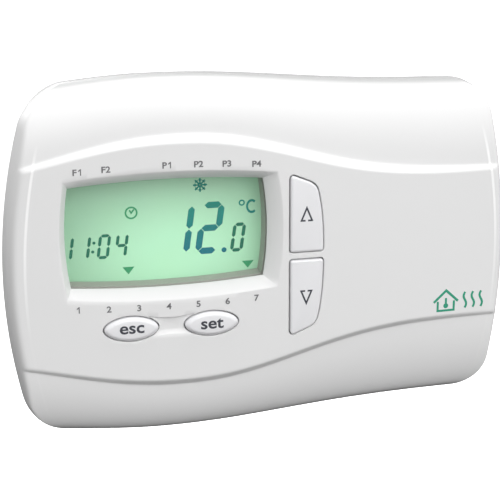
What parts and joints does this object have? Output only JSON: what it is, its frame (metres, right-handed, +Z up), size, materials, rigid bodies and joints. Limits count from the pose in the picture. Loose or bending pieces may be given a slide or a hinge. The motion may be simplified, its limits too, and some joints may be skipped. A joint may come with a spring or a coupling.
{
  "type": "wall thermostat",
  "caption": "Wall-mounted room thermostat with a backlit display, two lens-shaped keys, two tall up and down keys, and a pull-off front on a wall plate.",
  "frame": {"origin": "middle of the wall plate's back face, which lies on the wall", "axes": "+Y into the wall, so the display faces -Y; +Z up; +X to the right of a person facing the display"},
  "size_m": [0.1384, 0.0288, 0.098],
  "materials": {
    "cover_plastic": "fine satin moulded ABS, warm grey white",
    "key_plastic": "satin moulded ABS, grey white",
    "base_plastic": "plain moulded ABS, grey white",
    "frame_plastic": "moulded ABS, mid grey",
    "clear_window": "clear polished acrylic",
    "display_glass": "reflective display glass, mint green with dark segments",
    "guide_plastic": "milky acrylic",
    "led": "yellow-white lens",
    "contact_rubber": "striped conductive silicone",
    "circuit_board": "green solder mask over glass epoxy",
    "black_plastic": "moulded black nylon",
    "terminal_plastic": "moulded dark grey nylon",
    "relay_plastic": "off-white case",
    "capacitor_can": "dark blue sleeve on an aluminium can",
    "sensor_epoxy": "black epoxy bead on tinned legs",
    "plated_steel": "nickel plated",
    "brass": "plain brass",
    "cell_jacket": "printed film on a steel can",
    "plunger_plastic": "moulded nylon"
  },
  "bodies": {
    "wall_base": {"wall_plate": "base_plastic", "terminal_block": "terminal_plastic", "terminal_clamp_1": "brass", "terminal_clamp_2": "brass", "terminal_clamp_3": "brass", "terminal_clamp_4": "brass", "terminal_clamp_5": "brass", "terminal_screw_1": "plated_steel", "terminal_screw_2": "plated_steel", "terminal_screw_3": "plated_steel", "terminal_screw_4": "plated_steel", "terminal_screw_5": "plated_steel", "base_socket": "black_plastic"},
    "front_unit": {"front_cover": "cover_plastic", "display_window": "clear_window", "lcd_frame": "frame_plastic", "lcd_glass": "display_glass", "backlight_guide": "guide_plastic", "backlight_led_upper": "led", "backlight_led_lower": "led", "contact_strip_top": "contact_rubber", "contact_strip_bottom": "contact_rubber", "main_board": "circuit_board", "microcontroller": "black_plastic", "relay": "relay_plastic", "quartz_crystal": "plated_steel", "capacitor": "capacitor_can", "temperature_sensor": "sensor_epoxy", "pin_header": "black_plastic", "esc_switch": "black_plastic", "set_switch": "black_plastic", "up_switch": "black_plastic", "down_switch": "black_plastic", "board_screw_1": "plated_steel", "board_screw_2": "plated_steel", "board_screw_3": "plated_steel", "board_screw_4": "plated_steel", "rear_cover": "base_plastic", "rear_screw_1": "plated_steel", "rear_screw_2": "plated_steel", "rear_screw_3": "plated_steel", "rear_screw_4": "plated_steel", "cell_upper": "cell_jacket", "cell_lower": "cell_jacket", "cell_spring_upper": "plated_steel", "cell_spring_lower": "plated_steel", "cell_contact_left": "plated_steel", "cell_contact_right": "plated_steel"},
    "esc_key": {"esc_key": "key_plastic", "esc_plunger": "plunger_plastic"},
    "set_key": {"set_key": "key_plastic", "set_plunger": "plunger_plastic"},
    "up_key": {"up_key": "key_plastic", "up_plunger": "plunger_plastic"},
    "down_key": {"down_key": "key_plastic", "down_plunger": "plunger_plastic"}
  },
  "joints": [
    {"name": "front_unit_pull", "type": "slide", "parent": "wall_base", "child": "front_unit", "axis": [0, -1, 0], "range_m": [0, 0.04]},
    {"name": "esc_key_press", "type": "slide", "parent": "front_unit", "child": "esc_key", "axis": [0, 1, 0], "range_m": [0, 0.0005], "stiffness_N_per_m": 4000, "springref_m": -0.0003},
    {"name": "set_key_press", "type": "slide", "parent": "front_unit", "child": "set_key", "axis": [0, 1, 0], "range_m": [0, 0.0005], "stiffness_N_per_m": 4000, "springref_m": -0.0003},
    {"name": "up_key_press", "type": "slide", "parent": "front_unit", "child": "up_key", "axis": [0, 1, 0], "range_m": [0, 0.0005], "stiffness_N_per_m": 4000, "springref_m": -0.0003},
    {"name": "down_key_press", "type": "slide", "parent": "front_unit", "child": "down_key", "axis": [0, 1, 0], "range_m": [0, 0.0005], "stiffness_N_per_m": 4000, "springref_m": -0.0003}
  ]
}
